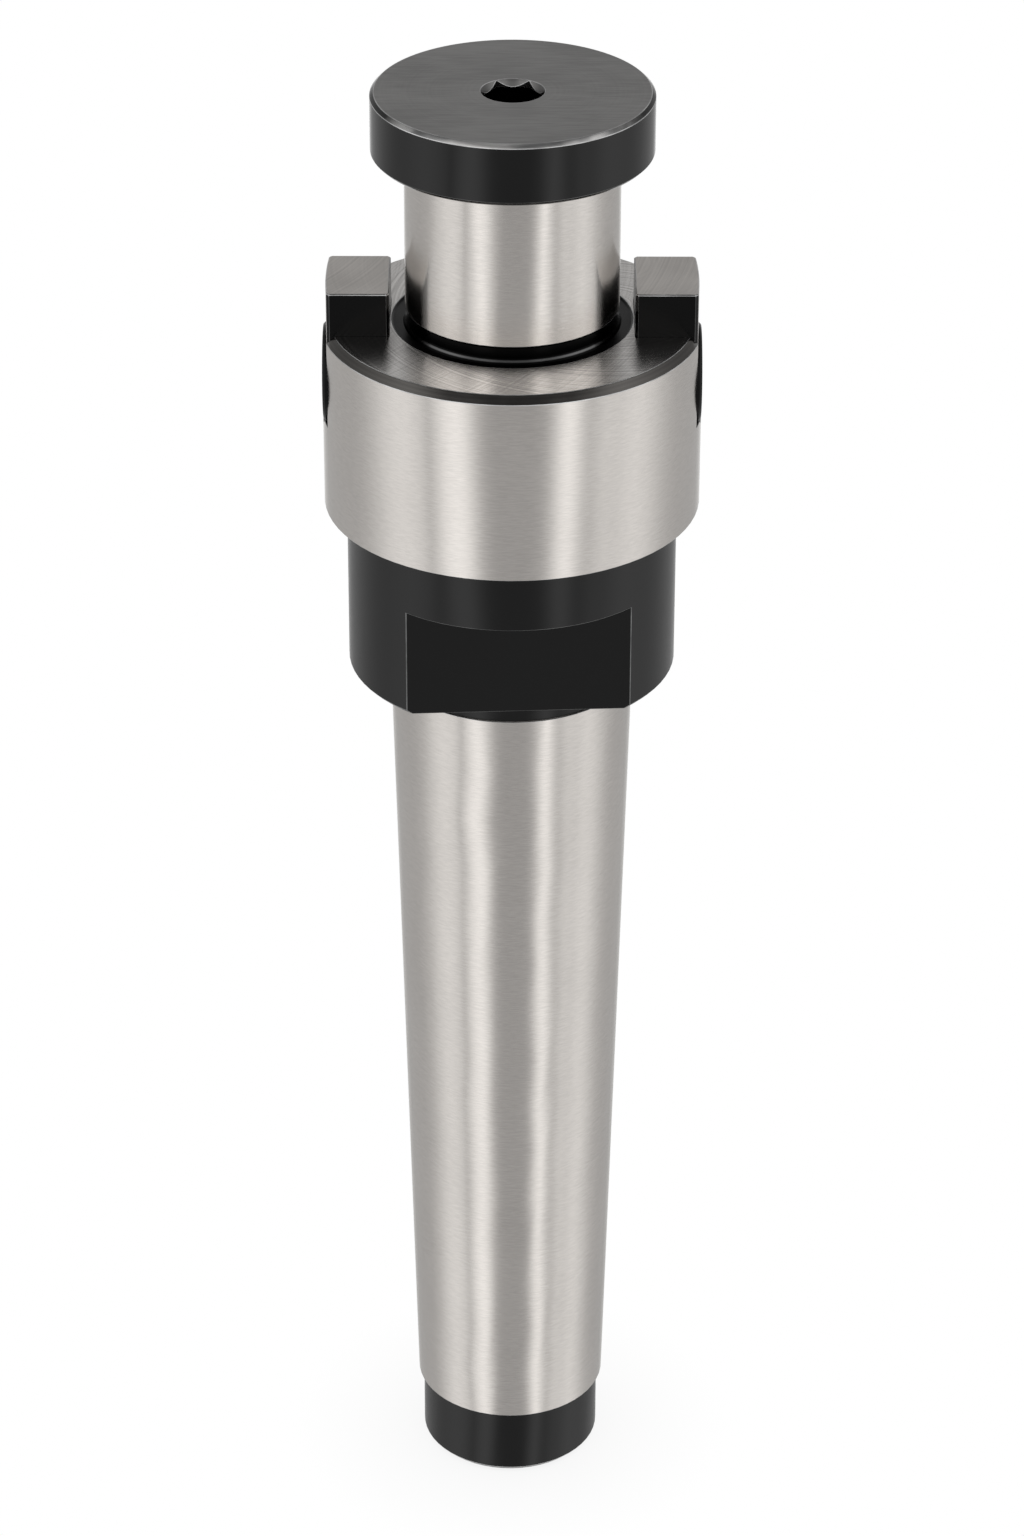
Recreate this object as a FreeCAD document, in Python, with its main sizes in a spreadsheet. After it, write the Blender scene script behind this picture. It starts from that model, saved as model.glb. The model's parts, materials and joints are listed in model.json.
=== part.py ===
"""Shell mill arbor with a Morse taper 4 shank, standing on the small end of its taper.

Six pieces: the arbor body, two drive keys, the two low-head screws that hold the
keys in their slots, and the clamp screw whose wide head holds a cutter on the pilot.
The origin is at the middle of the small end, +Z is the axis towards the clamp screw
and the drive keys stand on the X axis. All sizes are in millimetres and degrees.
"""

import FreeCAD, Part
import os

import Sketcher

doc = FreeCAD.newDocument("ShellMillArbor")

# Driving dimensions
sheet = doc.addObject("Spreadsheet::Sheet", "Sizes")
SIZES = {
    # Small end of the shank, behind the taper
    "spigot_length": 10.3,
    "spigot_diameter": 24.3,
    "spigot_chamfer": 0.8,
    "drawbar_core_diameter": 14.0,
    "drawbar_hole_depth": 40.0,
    "drawbar_centre_diameter": 17.0,
    "drawbar_centre_angle": 60.0,
    # Morse taper 4, measured from the face of the collar
    "taper_length": 113.6,
    "taper_large_diameter": 31.6,
    "taper_ratio": 19.254,
    "neck_length": 1.6,
    "neck_diameter": 31.0,
    # Collar with the two wrench flats
    "collar_height": 23.0,
    "collar_diameter": 42.3,
    "collar_chamfer": 0.5,
    "flats_across": 31.2,
    "flats_height": 14.5,
    "flats_turn": 3.3,
    # Flange that backs the cutter
    "flange_height": 25.0,
    "flange_diameter": 48.0,
    "flange_chamfer": 1.0,
    "relief_diameter": 30.6,
    "relief_depth": 0.3,
    "relief_corner": 0.6,
    # Pilot that centres the cutter
    "pilot_length": 22.4,
    "pilot_diameter": 27.0,
    "pilot_chamfer": 1.0,
    "undercut_height": 2.0,
    "undercut_depth": 0.35,
    # Tapped hole in the pilot
    "thread_diameter": 12.0,
    "thread_clearance": 0.05,
    "tapped_depth": 26.0,
    "tapped_mouth": 1.0,
    "drill_point": 118.0,
    # Drive keys and their slots
    "key_width": 12.0,
    "key_recess": 0.6,
    "key_height": 5.75,
    "key_depth": 12.6,
    "key_chamfer": 0.35,
    "key_edge_break": 0.15,
    "key_face_radius": 70.0,
    "key_clearance": 0.01,
    "key_inner_gap": 0.05,
    # Low-head screws of the keys
    "key_screw_drop": 7.5,
    "key_screw_proud": 0.45,
    "key_screw_diameter": 8.0,
    "key_screw_length": 10.0,
    "key_screw_head_diameter": 12.6,
    "key_screw_head_height": 5.0,
    "key_screw_socket": 5.0,
    "key_screw_socket_depth": 2.8,
    "key_screw_chamfer": 0.3,
    "counterbore_gap": 0.15,
    "key_hole_gap": 0.2,
    "key_tapped_spare": 1.0,
    # Clamp screw
    "head_diameter": 35.3,
    "head_height": 8.0,
    "head_chamfer": 0.5,
    "shank_length": 24.0,
    "shank_chamfer": 1.2,
    "socket_across": 6.9,
    "socket_depth": 5.5,
    "socket_mouth_diameter": 7.9,
    "socket_mouth_depth": 0.85,
}
for row, (alias, value) in enumerate(SIZES.items(), start=1):
    sheet.set(f"A{row}", alias)
    sheet.set(f"B{row}", str(value))
    sheet.setAlias(f"B{row}", alias)
doc.recompute()


def of(name):
    """Return the expression that reads one size from the sheet."""
    return f"Sizes.{name}"


# Heights and radii that follow from the driving dimensions
COLLAR_FACE = f"({of('spigot_length')} + {of('taper_length')})"
FLANGE_BACK = f"({COLLAR_FACE} + {of('collar_height')})"
FLANGE_FACE = f"({FLANGE_BACK} + {of('flange_height')})"
PILOT_END = f"({FLANGE_FACE} + {of('pilot_length')})"
FLANGE_RADIUS = f"({of('flange_diameter')} / 2)"
PILOT_RADIUS = f"({of('pilot_diameter')} / 2)"
COLLAR_RADIUS = f"({of('collar_diameter')} / 2)"
SPIGOT_RADIUS = f"({of('spigot_diameter')} / 2)"
UNDERCUT_RADIUS = f"({PILOT_RADIUS} - {of('undercut_depth')})"
RELIEF_RADIUS = f"({of('relief_diameter')} / 2)"
NECK_RADIUS = f"({of('neck_diameter')} / 2)"
TAPPED_RADIUS = f"({of('thread_diameter')} / 2 + {of('thread_clearance')})"
DRAWBAR_RADIUS = f"({of('drawbar_core_diameter')} / 2)"
KEY_INNER_FACE = f"({RELIEF_RADIUS} + {of('key_inner_gap')})"
KEY_SCREW_HEIGHT = f"({FLANGE_FACE} - {of('key_screw_drop')})"
KEY_OUTER_RADIUS = f"({FLANGE_RADIUS} - {of('key_recess')})"
KEY_SCREW_FACE = f"({KEY_OUTER_RADIUS} + {of('key_screw_proud')})"
KEY_SCREW_SEAT = f"({KEY_SCREW_FACE} - {of('key_screw_head_height')})"
KEY_SCREW_TIP = f"({KEY_SCREW_SEAT} - {of('key_screw_length')})"
KEY_SCREW_RADIUS = f"({of('key_screw_diameter')} / 2)"
COUNTERBORE_RADIUS = f"({of('key_screw_head_diameter')} / 2 + {of('counterbore_gap')})"
KEY_TAPPED_RADIUS = f"({KEY_SCREW_RADIUS} + {of('thread_clearance')})"


def taper_radius(below_collar):
    """Return the taper's radius at a distance below the collar's face."""
    return f"({of('taper_large_diameter')} / 2 - {below_collar} / {of('taper_ratio')} / 2)"


def drill_tip(radius):
    """Return the length of the cone that a drill leaves in a hole of this radius."""
    return f"({radius} / tan({of('drill_point')} / 2 * 1 deg))"


# Helpers for sketches
def new_body(name):
    """Add an empty body, whose label names the piece."""
    body = doc.addObject("PartDesign::Body", name)
    body.Label = name
    doc.recompute()
    return body


def new_sketch(body, name, role, offset=None):
    """Attach a sketch to one of the body's origin planes, moved by expressions."""
    sketch = body.newObject("Sketcher::SketchObject", name)
    plane = next(f for f in body.Origin.OriginFeatures if f.Role == role)
    sketch.AttachmentSupport = [(plane, "")]
    sketch.MapMode = "FlatFace"
    for path, expression in (offset or {}).items():
        sketch.setExpression(f"AttachmentOffset.{path}", expression)
    doc.recompute()
    return sketch


def number(sketch, expression):
    """Work out an expression with the sheet's present sizes."""
    return float(sketch.evalExpression(expression))


def tie(sketch, kind, geometry, point, expression):
    """Hold one coordinate of a point at an expression, measured from the sketch's origin."""
    value = number(sketch, expression)
    index = sketch.addConstraint(Sketcher.Constraint(kind, -1, 1, geometry, point, value))
    sketch.setExpression(f"Constraints[{index}]", expression)


def add_outline(sketch, corners):
    """Draw a closed outline of straight lines through corners given as expressions."""
    places = [FreeCAD.Vector(number(sketch, x), number(sketch, y), 0) for x, y in corners]
    first = sketch.GeometryCount
    count = len(corners)
    for index in range(count):
        line = Part.LineSegment(places[index], places[(index + 1) % count])
        sketch.addGeometry(line, False)
    for index in range(count):
        following = first + (index + 1) % count
        sketch.addConstraint(Sketcher.Constraint("Coincident", first + index, 2, following, 1))
    for index, (x, y) in enumerate(corners):
        tie(sketch, "DistanceX", first + index, 1, x)
        tie(sketch, "DistanceY", first + index, 1, y)


def add_hexagon(sketch, across):
    """Draw a hexagon about the sketch's origin, with two corners on its X axis."""
    reach = f"({across} / 2 / cos(30 deg))"
    corners = []
    for side in range(6):
        corners.append((f"{reach} * cos({60 * side} deg)", f"{reach} * sin({60 * side} deg)"))
    add_outline(sketch, corners)


# Helpers for features
def turned(body, kind, name, sketch, axis="V_Axis"):
    """Turn a sketch through a whole revolution, as added or removed metal."""
    feature = body.newObject(f"PartDesign::{kind}", name)
    feature.Profile = sketch
    feature.ReferenceAxis = (sketch, [axis])
    feature.Angle = 360.0
    sketch.Visibility = False
    doc.recompute()
    return feature


def extruded(body, kind, name, sketch, length, reverse=False):
    """Pad or pocket a sketch by a length given as an expression."""
    feature = body.newObject(f"PartDesign::{kind}", name)
    feature.Profile = sketch
    feature.setExpression("Length", length)
    feature.Reversed = reverse
    sketch.Visibility = False
    doc.recompute()
    return feature


def chamfered(body, name, base, edges, size):
    """Break the edges that a test picks out, by a size given as an expression."""
    chosen = [f"Edge{i}" for i, edge in enumerate(base.Shape.Edges, start=1) if edges(edge)]
    feature = body.newObject("PartDesign::Chamfer", name)
    feature.Base = (base, chosen)
    feature.setExpression("Size", size)
    doc.recompute()
    return feature


def along(edge, direction):
    """Tell whether an edge is straight and lies along a direction."""
    if edge.Curve.TypeId != "Part::GeomLine":
        return False
    return abs(abs(edge.Curve.Direction.dot(direction)) - 1.0) < 1e-6


# Arbor body
def arbor_body():
    """Turn the arbor, then cut its bores, wrench flats and the slots of the keys."""
    body = new_body("arbor_body")
    taper_end = of("spigot_length")
    neck_start = f"({COLLAR_FACE} - {of('neck_length')})"
    collar_chamfer = of("collar_chamfer")
    flange_chamfer = of("flange_chamfer")
    relief_floor = f"({FLANGE_FACE} - {of('relief_depth')})"
    spigot_chamfer = of("spigot_chamfer")
    profile = [
        ("0", "0"),
        (f"{SPIGOT_RADIUS} - {spigot_chamfer}", "0"),
        (SPIGOT_RADIUS, spigot_chamfer),
        (SPIGOT_RADIUS, taper_end),
        (taper_radius(of("taper_length")), taper_end),
        (taper_radius(of("neck_length")), neck_start),
        (NECK_RADIUS, neck_start),
        (NECK_RADIUS, COLLAR_FACE),
        (f"{COLLAR_RADIUS} - {collar_chamfer}", COLLAR_FACE),
        (COLLAR_RADIUS, f"{COLLAR_FACE} + {collar_chamfer}"),
        (COLLAR_RADIUS, FLANGE_BACK),
        (FLANGE_RADIUS, FLANGE_BACK),
        (FLANGE_RADIUS, f"{FLANGE_FACE} - {flange_chamfer}"),
        (f"{FLANGE_RADIUS} - {flange_chamfer}", FLANGE_FACE),
        (f"{RELIEF_RADIUS}", FLANGE_FACE),
        (f"{RELIEF_RADIUS} - {of('relief_depth')}", relief_floor),
        (f"{UNDERCUT_RADIUS} + {of('relief_corner')}", relief_floor),
        (UNDERCUT_RADIUS, f"{relief_floor} + {of('relief_corner')}"),
        (UNDERCUT_RADIUS, f"{FLANGE_FACE} + {of('undercut_height')} - {of('undercut_depth')}"),
        (PILOT_RADIUS, f"{FLANGE_FACE} + {of('undercut_height')}"),
        (PILOT_RADIUS, f"{PILOT_END} - {of('pilot_chamfer')}"),
        (f"{PILOT_RADIUS} - {of('pilot_chamfer')}", PILOT_END),
        ("0", PILOT_END),
    ]
    sketch = new_sketch(body, "arbor_profile", "XZ_Plane")
    add_outline(sketch, profile)
    turned(body, "Revolution", "arbor_turning", sketch)

    # Tapped hole for the clamp screw, with a countersunk mouth and a drill point
    bottom = f"({PILOT_END} - {of('tapped_depth')})"
    sketch = new_sketch(body, "tapped_hole_profile", "XZ_Plane")
    add_outline(sketch, [
        ("0", PILOT_END),
        (f"{TAPPED_RADIUS} + {of('tapped_mouth')}", PILOT_END),
        (TAPPED_RADIUS, f"{PILOT_END} - {of('tapped_mouth')}"),
        (TAPPED_RADIUS, bottom),
        ("0", f"{bottom} - {drill_tip(TAPPED_RADIUS)}"),
    ])
    turned(body, "Groove", "tapped_hole", sketch)

    # Drawbar thread's core hole, with a centre that carries the arbor between points
    widening = f"({of('drawbar_centre_diameter')} / 2 - {DRAWBAR_RADIUS})"
    centre_depth = f"({widening} / tan({of('drawbar_centre_angle')} / 2 * 1 deg))"
    sketch = new_sketch(body, "drawbar_hole_profile", "XZ_Plane")
    add_outline(sketch, [
        ("0", "0"),
        ("0", f"{of('drawbar_hole_depth')} + {drill_tip(DRAWBAR_RADIUS)}"),
        (DRAWBAR_RADIUS, of("drawbar_hole_depth")),
        (DRAWBAR_RADIUS, centre_depth),
        (f"{of('drawbar_centre_diameter')} / 2", "0"),
    ])
    turned(body, "Groove", "drawbar_hole", sketch)

    # Two wrench flats, open towards the taper
    offset = {"Base.z": COLLAR_FACE, "Rotation.Angle": of("flats_turn")}
    sketch = new_sketch(body, "flats_outline", "XY_Plane", offset)
    near = f"({of('flats_across')} / 2)"
    for side in ("", "-"):
        add_outline(sketch, [
            (f"-{COLLAR_RADIUS}", f"{side}{near}"),
            (COLLAR_RADIUS, f"{side}{near}"),
            (COLLAR_RADIUS, f"{side}{COLLAR_RADIUS}"),
            (f"-{COLLAR_RADIUS}", f"{side}{COLLAR_RADIUS}"),
        ])
    extruded(body, "Pocket", "wrench_flats", sketch, of("flats_height"), reverse=True)

    # Slot of the right key, with the tapped hole and counterbore of its screw
    sketch = new_sketch(body, "key_slot_outline", "XY_Plane", {"Base.z": FLANGE_FACE})
    half_slot = f"({of('key_width')} / 2 + {of('key_clearance')})"
    add_outline(sketch, [
        (KEY_INNER_FACE, f"-{half_slot}"),
        (FLANGE_RADIUS, f"-{half_slot}"),
        (FLANGE_RADIUS, half_slot),
        (KEY_INNER_FACE, half_slot),
    ])
    slot = extruded(body, "Pocket", "key_slot", sketch, of("key_depth"))

    sketch = new_sketch(body, "key_screw_hole_profile", "XZ_Plane", {"Base.y": KEY_SCREW_HEIGHT})
    hole_end = f"({KEY_SCREW_TIP} - {of('key_tapped_spare')})"
    add_outline(sketch, [
        (f"{hole_end} - {drill_tip(KEY_TAPPED_RADIUS)}", "0"),
        (hole_end, KEY_TAPPED_RADIUS),
        (KEY_SCREW_SEAT, KEY_TAPPED_RADIUS),
        (KEY_SCREW_SEAT, COUNTERBORE_RADIUS),
        (FLANGE_RADIUS, COUNTERBORE_RADIUS),
        (FLANGE_RADIUS, "0"),
    ])
    hole = turned(body, "Groove", "key_screw_hole", sketch, axis="H_Axis")

    # The left key's slot is the right one turned half a turn
    both = body.newObject("PartDesign::PolarPattern", "both_key_slots")
    both.Originals = [slot, hole]
    axis = next(f for f in body.Origin.OriginFeatures if f.Role == "Z_Axis")
    both.Axis = (axis, [""])
    both.Angle = 360.0
    both.Occurrences = 2
    body.Tip = both
    doc.recompute()
    return body


# Drive keys
def drive_key(name, turn):
    """Make a key that fills its slot and stands above the flange, turned about the axis."""
    body = new_body(name)
    bottom = f"({FLANGE_FACE} - {of('key_depth')})"
    sketch = new_sketch(body, f"{name}_plan", "XY_Plane", {"Base.z": bottom})
    half = f"({of('key_width')} / 2)"
    outer = KEY_OUTER_RADIUS
    add_outline(sketch, [
        (KEY_INNER_FACE, f"-{half}"),
        (outer, f"-{half}"),
        (outer, half),
        (KEY_INNER_FACE, half),
    ])
    extruded(body, "Pad", f"{name}_block", sketch, f"{of('key_depth')} + {of('key_height')}")

    # The outer face is slightly crowned, about an axis on the far side of the arbor's
    key_top = f"({FLANGE_FACE} + {of('key_height')})"
    crown = of("key_face_radius")
    beyond = f"({crown} + {half})"
    offset = {"Base.x": f"{outer} - {crown}"}
    sketch = new_sketch(body, f"{name}_turned_face_profile", "XZ_Plane", offset)
    add_outline(sketch, [
        (crown, bottom),
        (beyond, bottom),
        (beyond, key_top),
        (crown, key_top),
    ])
    block = turned(body, "Groove", f"{name}_turned_face", sketch)
    top = number(sketch, key_top)
    upright = FreeCAD.Vector(0, 0, 1)
    corners = chamfered(
        body,
        f"{name}_corners",
        block,
        lambda edge: along(edge, upright),
        of("key_chamfer"),
    )

    # The top is ground last, so its edges are nearly sharp
    chamfered(
        body,
        f"{name}_top_edges",
        corners,
        lambda edge: all(abs(v.Z - top) < 1e-6 for v in edge.Vertexes),
        of("key_edge_break"),
    )

    sketch = new_sketch(body, f"{name}_screw_hole_profile", "XZ_Plane", {"Base.y": KEY_SCREW_HEIGHT})
    hole = f"({KEY_SCREW_RADIUS} + {of('key_hole_gap')})"
    add_outline(sketch, [
        (KEY_INNER_FACE, "0"),
        (KEY_INNER_FACE, hole),
        (KEY_SCREW_SEAT, hole),
        (KEY_SCREW_SEAT, COUNTERBORE_RADIUS),
        (outer, COUNTERBORE_RADIUS),
        (outer, "0"),
    ])
    turned(body, "Groove", f"{name}_screw_hole", sketch, axis="H_Axis")
    body.Placement = FreeCAD.Placement(
        FreeCAD.Vector(), FreeCAD.Rotation(FreeCAD.Vector(0, 0, 1), turn)
    )
    return body


# Low-head screws of the keys
def key_screw(name, turn):
    """Make the radial screw that clamps a key, with a hexagon socket in its low head."""
    body = new_body(name)
    sketch = new_sketch(body, f"{name}_profile", "XZ_Plane", {"Base.y": KEY_SCREW_HEIGHT})
    head = f"({of('key_screw_head_diameter')} / 2)"
    chamfer = of("key_screw_chamfer")
    add_outline(sketch, [
        (KEY_SCREW_TIP, "0"),
        (KEY_SCREW_TIP, f"{KEY_SCREW_RADIUS} - {chamfer}"),
        (f"{KEY_SCREW_TIP} + {chamfer}", KEY_SCREW_RADIUS),
        (KEY_SCREW_SEAT, KEY_SCREW_RADIUS),
        (KEY_SCREW_SEAT, head),
        (f"{KEY_SCREW_FACE} - {chamfer}", head),
        (KEY_SCREW_FACE, f"{head} - {chamfer}"),
        (KEY_SCREW_FACE, "0"),
    ])
    turned(body, "Revolution", f"{name}_turning", sketch, axis="H_Axis")
    offset = {"Base.y": KEY_SCREW_HEIGHT, "Base.z": KEY_SCREW_FACE}
    sketch = new_sketch(body, f"{name}_socket_outline", "YZ_Plane", offset)
    add_hexagon(sketch, of("key_screw_socket"))
    extruded(body, "Pocket", f"{name}_socket", sketch, of("key_screw_socket_depth"))
    body.Placement = FreeCAD.Placement(
        FreeCAD.Vector(), FreeCAD.Rotation(FreeCAD.Vector(0, 0, 1), turn)
    )
    return body


# Clamp screw
def clamp_screw():
    """Make the screw with the wide flat head, seated on the end of the pilot."""
    body = new_body("clamp_screw")
    head = f"({of('head_diameter')} / 2)"
    shank = f"({of('thread_diameter')} / 2)"
    chamfer = of("head_chamfer")
    tip = of("shank_chamfer")
    sketch = new_sketch(body, "clamp_screw_profile", "XZ_Plane")
    add_outline(sketch, [
        ("0", f"-{of('shank_length')}"),
        (f"{shank} - {tip}", f"-{of('shank_length')}"),
        (shank, f"-{of('shank_length')} + {tip}"),
        (shank, "0"),
        (f"{head} - {chamfer}", "0"),
        (head, chamfer),
        (head, f"{of('head_height')} - {chamfer}"),
        (f"{head} - {chamfer}", of("head_height")),
        ("0", of("head_height")),
    ])
    turned(body, "Revolution", "clamp_screw_turning", sketch)

    # Hexagon socket, with a round chamfered mouth and the cone of its pilot drill
    offset = {"Base.z": of("head_height")}
    sketch = new_sketch(body, "socket_outline", "XY_Plane", offset)
    add_hexagon(sketch, of("socket_across"))
    extruded(body, "Pocket", "socket", sketch, of("socket_depth"))
    mouth = f"({of('socket_mouth_diameter')} / 2)"
    inner = f"({of('socket_across')} / 2)"
    floor = f"({of('head_height')} - {of('socket_depth')})"
    sketch = new_sketch(body, "socket_drilling_profile", "XZ_Plane")
    add_outline(sketch, [
        ("0", of("head_height")),
        (mouth, of("head_height")),
        (inner, f"{of('head_height')} - {of('socket_mouth_depth')}"),
        (inner, floor),
        ("0", f"{floor} - {drill_tip(inner)}"),
    ])
    turned(body, "Groove", "socket_drilling", sketch)
    body.setExpression("Placement.Base.z", PILOT_END)
    return body


RIGHT = 0.0
LEFT = 180.0
pieces = [
    arbor_body(),
    drive_key("right_drive_key", RIGHT),
    drive_key("left_drive_key", LEFT),
    key_screw("right_key_screw", RIGHT),
    key_screw("left_key_screw", LEFT),
    clamp_screw(),
]
doc.recompute()

# Every object and every piece is sound before anything is written
for item in doc.Objects:
    if "Invalid" in item.State or "Error" in item.State:
        raise RuntimeError(f"{item.Name} failed: {item.State}")
for piece in pieces:
    shape = piece.Shape
    if shape.isNull() or not shape.isValid() or len(shape.Solids) != 1:
        raise RuntimeError(f"{piece.Label} isn't one valid solid")

os.makedirs("parts", exist_ok=True)
for piece in pieces:
    piece.Shape.exportStep(f"parts/{piece.Label}.step")
    print(piece.Label, round(piece.Shape.Volume, 1), "mm3")
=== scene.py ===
"""Studio picture of a shell mill arbor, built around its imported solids.

The arbor stands on the small end of its taper. Its solids come from the frame as they
are; this script rounds their edges, cuts the screw threads, gives each surface its
finish, and sets the light and the camera. Lengths are in metres unless a name says so.
"""

from __future__ import annotations

import json
import logging
import math
from collections.abc import Sequence
from dataclasses import dataclass, field
from enum import Enum

import bmesh
import bpy
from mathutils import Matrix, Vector

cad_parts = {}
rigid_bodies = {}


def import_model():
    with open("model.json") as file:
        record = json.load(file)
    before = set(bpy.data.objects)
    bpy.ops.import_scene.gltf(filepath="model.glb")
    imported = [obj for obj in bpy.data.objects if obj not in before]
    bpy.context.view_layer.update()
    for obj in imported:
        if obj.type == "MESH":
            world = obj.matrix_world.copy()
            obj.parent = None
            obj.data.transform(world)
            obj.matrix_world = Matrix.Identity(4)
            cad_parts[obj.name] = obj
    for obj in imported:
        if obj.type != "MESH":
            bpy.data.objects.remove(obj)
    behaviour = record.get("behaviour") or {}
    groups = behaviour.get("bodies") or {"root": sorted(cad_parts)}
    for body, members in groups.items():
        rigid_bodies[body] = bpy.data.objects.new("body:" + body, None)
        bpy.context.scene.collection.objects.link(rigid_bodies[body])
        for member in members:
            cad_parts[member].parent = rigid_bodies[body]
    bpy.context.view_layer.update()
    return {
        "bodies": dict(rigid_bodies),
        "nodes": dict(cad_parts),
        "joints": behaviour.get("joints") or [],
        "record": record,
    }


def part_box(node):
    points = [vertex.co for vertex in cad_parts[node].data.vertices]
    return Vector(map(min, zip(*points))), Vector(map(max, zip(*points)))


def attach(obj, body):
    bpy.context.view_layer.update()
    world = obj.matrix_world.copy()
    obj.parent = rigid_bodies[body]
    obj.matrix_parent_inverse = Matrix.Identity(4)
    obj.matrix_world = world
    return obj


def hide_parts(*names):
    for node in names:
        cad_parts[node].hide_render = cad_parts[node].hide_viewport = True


LOG = logging.getLogger("shell_mill_arbor")
MM = 0.001
MERGE_LENGTH = 0.0005 * MM
WELD_LENGTH = 0.004 * MM
SHARP_ANGLE = math.radians(28.0)
NORMAL_WEIGHT = 80
Colour = tuple[float, float, float, float]
Box = tuple[Sequence[float], Sequence[float]]
# A mask's edge and blur, the scale and detail of rings, or a bump's distance and strength
Pair = tuple[float, float]


class Body(Enum):
    """The rigid bodies that pieces ride on."""

    ARBOR = "arbor"
    SCREW = "screw"


class Node(Enum):
    """The solids of the frame."""

    ARBOR = "arbor_body"
    LEFT_KEY = "left_drive_key"
    RIGHT_KEY = "right_drive_key"
    LEFT_SCREW = "left_key_screw"
    RIGHT_SCREW = "right_key_screw"
    CLAMP = "clamp_screw"


# Node trees
@dataclass(frozen=True)
class Grain:
    """A noise: how dense it is along each axis, and how finely it breaks up."""

    x: float
    y: float
    z: float
    detail: float = 2.0


class Signal:
    """A node's output that can be used in Python expressions."""

    def __init__(self, graph: Graph, socket: bpy.types.NodeSocket) -> None:
        """Wrap an output socket of a graph."""
        self.graph = graph
        self.socket = socket

    def math(self, operation: str, *values: Signal | float) -> Signal:
        """Add one Math node.

        Args:
            operation: The node's operation.
            values: Its inputs, in order.

        Returns:
            The node's result.
        """
        inputs = dict(enumerate(values))
        return self.graph.node("ShaderNodeMath", {"operation": operation}, inputs)

    def __add__(self, other: Signal | float) -> Signal:
        """Add."""
        return self.math("ADD", self, other)

    __radd__ = __add__

    def __sub__(self, other: Signal | float) -> Signal:
        """Subtract."""
        return self.math("SUBTRACT", self, other)

    def __rsub__(self, other: Signal | float) -> Signal:
        """Subtract this from a number."""
        return self.math("SUBTRACT", other, self)

    def __mul__(self, other: Signal | float) -> Signal:
        """Multiply."""
        return self.math("MULTIPLY", self, other)

    __rmul__ = __mul__

    def __truediv__(self, other: Signal | float) -> Signal:
        """Divide."""
        return self.math("DIVIDE", self, other)

    def __abs__(self) -> Signal:
        """Drop the sign."""
        return self.math("ABSOLUTE", self)

    def __neg__(self) -> Signal:
        """Turn the sign."""
        return self.math("MULTIPLY", self, -1.0)

    def hypot(self, other: Signal) -> Signal:
        """Return the length of the two values taken as sides."""
        return self.math("SQRT", self * self + other * other)

    def exp(self) -> Signal:
        """Return e to the power of the value."""
        return self.math("EXPONENT", self)

    def above(self, edge: float, blur: float) -> Signal:
        """Return a mask that rises from 0 to 1 as the value passes an edge.

        Args:
            edge: Where the mask is a half.
            blur: Half the width of its rise.

        Returns:
            The mask.
        """
        return self.graph.node(
            "ShaderNodeMapRange",
            {"interpolation_type": "SMOOTHSTEP"},
            {"Value": self, "From Min": edge - blur, "From Max": edge + blur},
        )

    def between(self, low: float, high: float, blur: float) -> Signal:
        """Return a mask that is 1 between two edges."""
        return self.above(low, blur) * (1.0 - self.above(high, blur))

    def fade(self, other: Signal | float, mask: Signal) -> Signal:
        """Return this value where a mask is 0, and another where it is 1."""
        return self * (1.0 - mask) + other * mask


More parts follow.
